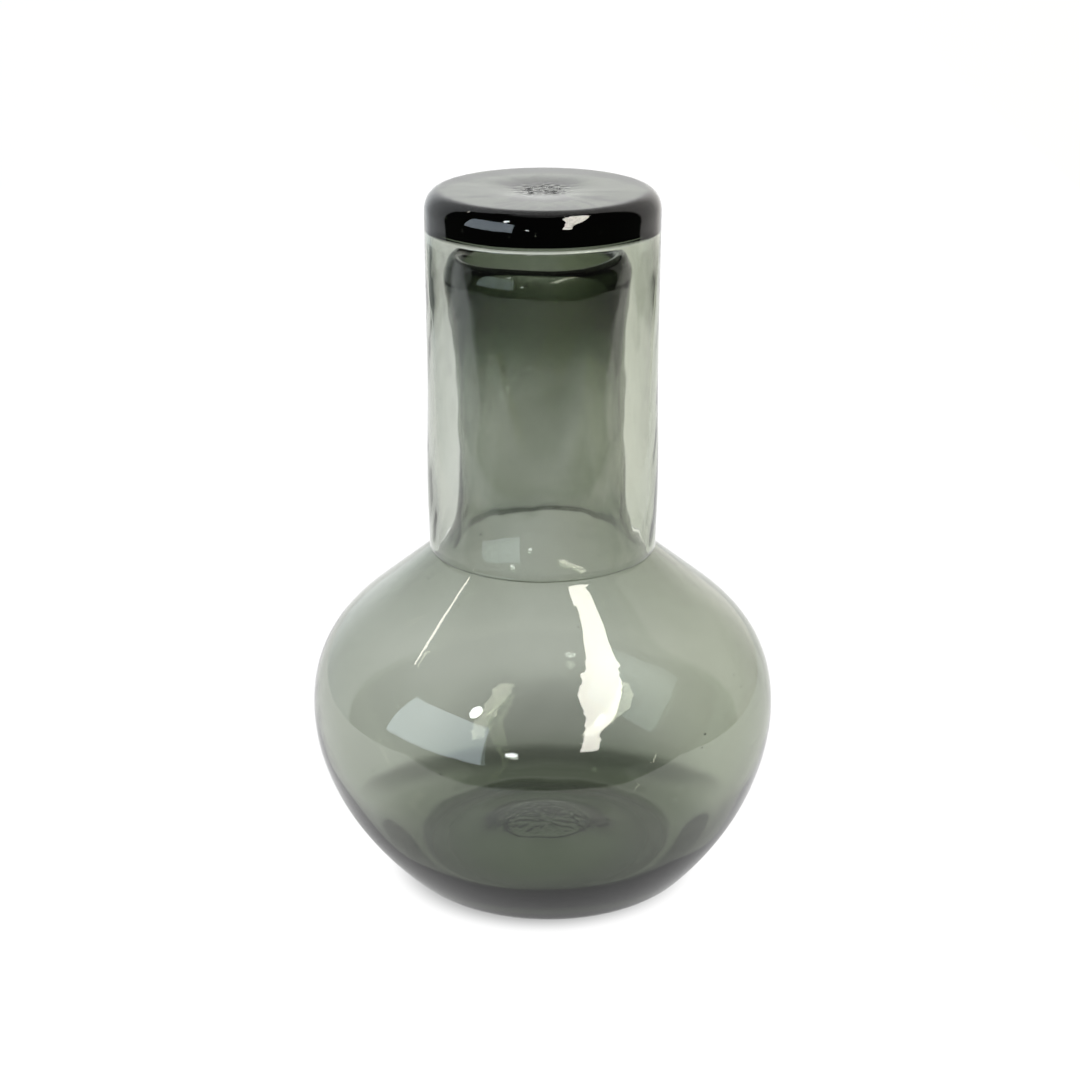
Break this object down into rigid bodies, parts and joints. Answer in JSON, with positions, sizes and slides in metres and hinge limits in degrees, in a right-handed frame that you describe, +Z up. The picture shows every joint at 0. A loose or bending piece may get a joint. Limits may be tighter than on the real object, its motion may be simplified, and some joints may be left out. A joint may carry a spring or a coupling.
{
  "type": "night carafe with tumbler",
  "caption": "Squat-bellied blown glass water carafe in smoky grey-green, with its drinking tumbler turned upside down over the neck and resting on the shoulder.",
  "frame": {"origin": "centre of the carafe's foot ring, on the surface that it stands on", "axes": "+Z up along the common axis of carafe and tumbler; -Y is the side seen from the front; the shape is the same all round Z"},
  "size_m": [0.141, 0.141, 0.2142],
  "materials": {
    "carafe_glass": "hand-blown smoky grey-green glass, fire-polished, with small seeds and faint ripples",
    "tumbler_glass": "hand-blown smoky grey-green glass, fire-polished, with a thick dark base"
  },
  "bodies": {
    "carafe": {"carafe": "carafe_glass"},
    "tumbler": {"tumbler": "tumbler_glass"}
  },
  "joints": [
    {"name": "tumbler_lift", "type": "slide", "parent": "carafe", "child": "tumbler", "axis": [0, 0, 1], "range_m": [0, 0.105]}
  ]
}
